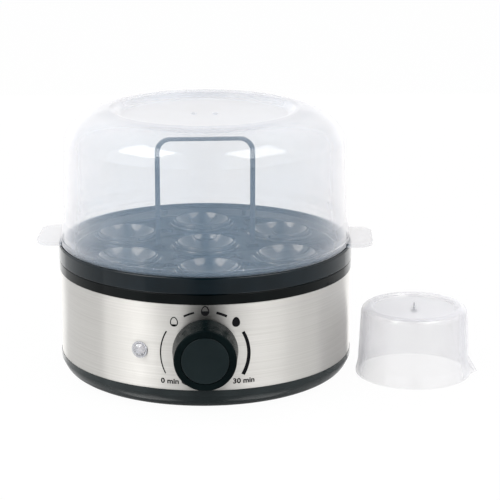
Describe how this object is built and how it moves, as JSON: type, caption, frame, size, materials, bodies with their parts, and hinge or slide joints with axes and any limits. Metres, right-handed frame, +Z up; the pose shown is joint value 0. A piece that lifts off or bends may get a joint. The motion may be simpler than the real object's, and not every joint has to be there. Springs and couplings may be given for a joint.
{
  "type": "electric egg cooker",
  "caption": "Round countertop egg cooker with a steel band, timer knob, translucent domed lid over a cupped egg tray with a bow handle, and a separate measuring cup with piercing pin.",
  "frame": {"origin": "on the cooker's axis at the floor, in the plane of its feet", "axes": "+Z up, -Y towards the knob, +X towards the measuring cup"},
  "size_m": [0.2699, 0.2083, 0.1637],
  "materials": {
    "pan": "moulded black base",
    "gloss_black": "polished black",
    "tray_black": "polished black",
    "steel": "brushed round the band",
    "bowl_coat": "dark non-stick coating",
    "silicone": "grey silicone",
    "rubber": "black rubber",
    "screw": "zinc plated",
    "element": "plain tube",
    "shield": "bright sheet",
    "ceramic": "pale heat-resistant moulding",
    "brass": "plain brass",
    "zinc": "zinc plated sheet",
    "clear": "clear moulding",
    "neon": "small lamp",
    "milky": "translucent polypropylene",
    "pale_plastic": "pale moulding"
  },
  "bodies": {
    "housing": {"base_pan": "pan", "rubber_feet": "rubber", "base_screws": "screw", "steel_band": "steel", "top_collar": "gloss_black", "heating_bowl": "bowl_coat", "bowl_seal": "silicone", "bowl_screws": "screw", "heating_element": "element", "heat_shield": "shield", "shield_screw": "screw", "thermostat": "ceramic", "thermal_fuse": "ceramic", "fuse_clip": "zinc", "escapement_case": "pale_plastic", "timer_front_plate": "zinc", "timer_back_plate": "zinc", "timer_pillars": "zinc", "timer_screws": "screw", "contact_block": "ceramic", "contact_leaves": "brass", "timer_bell": "zinc", "indicator_lens": "clear", "lens_retainer": "zinc", "neon_lamp": "neon", "cord_gland": "rubber", "cord_clamp": "pan", "clamp_screws": "screw", "terminal_block": "pale_plastic"},
    "knob": {"knob_shell": "gloss_black", "knob_disc": "gloss_black", "timer_arbor": "zinc", "main_wheel": "brass", "spring_barrel": "brass", "switch_cam": "pale_plastic"},
    "second_wheel": {"second_pinion": "zinc", "second_wheel": "brass"},
    "third_wheel": {"third_pinion": "zinc", "third_wheel": "brass"},
    "escape_pinion": {"escape_pinion": "zinc"},
    "tray": {"egg_tray": "tray_black", "tray_handle": "tray_black"},
    "lid": {"lid": "milky"},
    "measuring_cup": {"measuring_cup": "milky", "piercing_pin": "zinc"}
  },
  "joints": [
    {"name": "knob_turn", "type": "hinge", "parent": "housing", "child": "knob", "pos_m": [0, -0.0897, 0.0386], "axis": [0, 1, 0], "range_deg": [0, 290]},
    {"name": "second_wheel_turn", "type": "hinge", "parent": "housing", "child": "second_wheel", "pos_m": [-0.01054, -0.0744, 0.02455], "axis": [0, 1, 0], "range_deg": [-1740, 0]},
    {"name": "third_wheel_turn", "type": "hinge", "parent": "housing", "child": "third_wheel", "pos_m": [-0.00061, -0.0696, 0.02094], "axis": [0, 1, 0], "range_deg": [0, 5568]},
    {"name": "escape_pinion_turn", "type": "hinge", "parent": "housing", "child": "escape_pinion", "pos_m": [0.00884, -0.0696, 0.02438], "axis": [0, 1, 0], "range_deg": [-16704, 0]},
    {"name": "tray_lift", "type": "slide", "parent": "housing", "child": "tray", "axis": [0, 0, 1], "range_m": [0, 0.1]},
    {"name": "lid_lift", "type": "slide", "parent": "tray", "child": "lid", "axis": [0, 0, 1], "range_m": [0, 0.12]},
    {"name": "cup_lift", "type": "slide", "parent": "housing", "child": "measuring_cup", "axis": [0.5, 0, 0.866], "range_m": [0, 0.1]}
  ],
  "couplings": [
    {"joint": "second_wheel_turn", "follows": "knob_turn", "ratio": -6},
    {"joint": "third_wheel_turn", "follows": "knob_turn", "ratio": 19.2},
    {"joint": "escape_pinion_turn", "follows": "knob_turn", "ratio": -57.6}
  ]
}
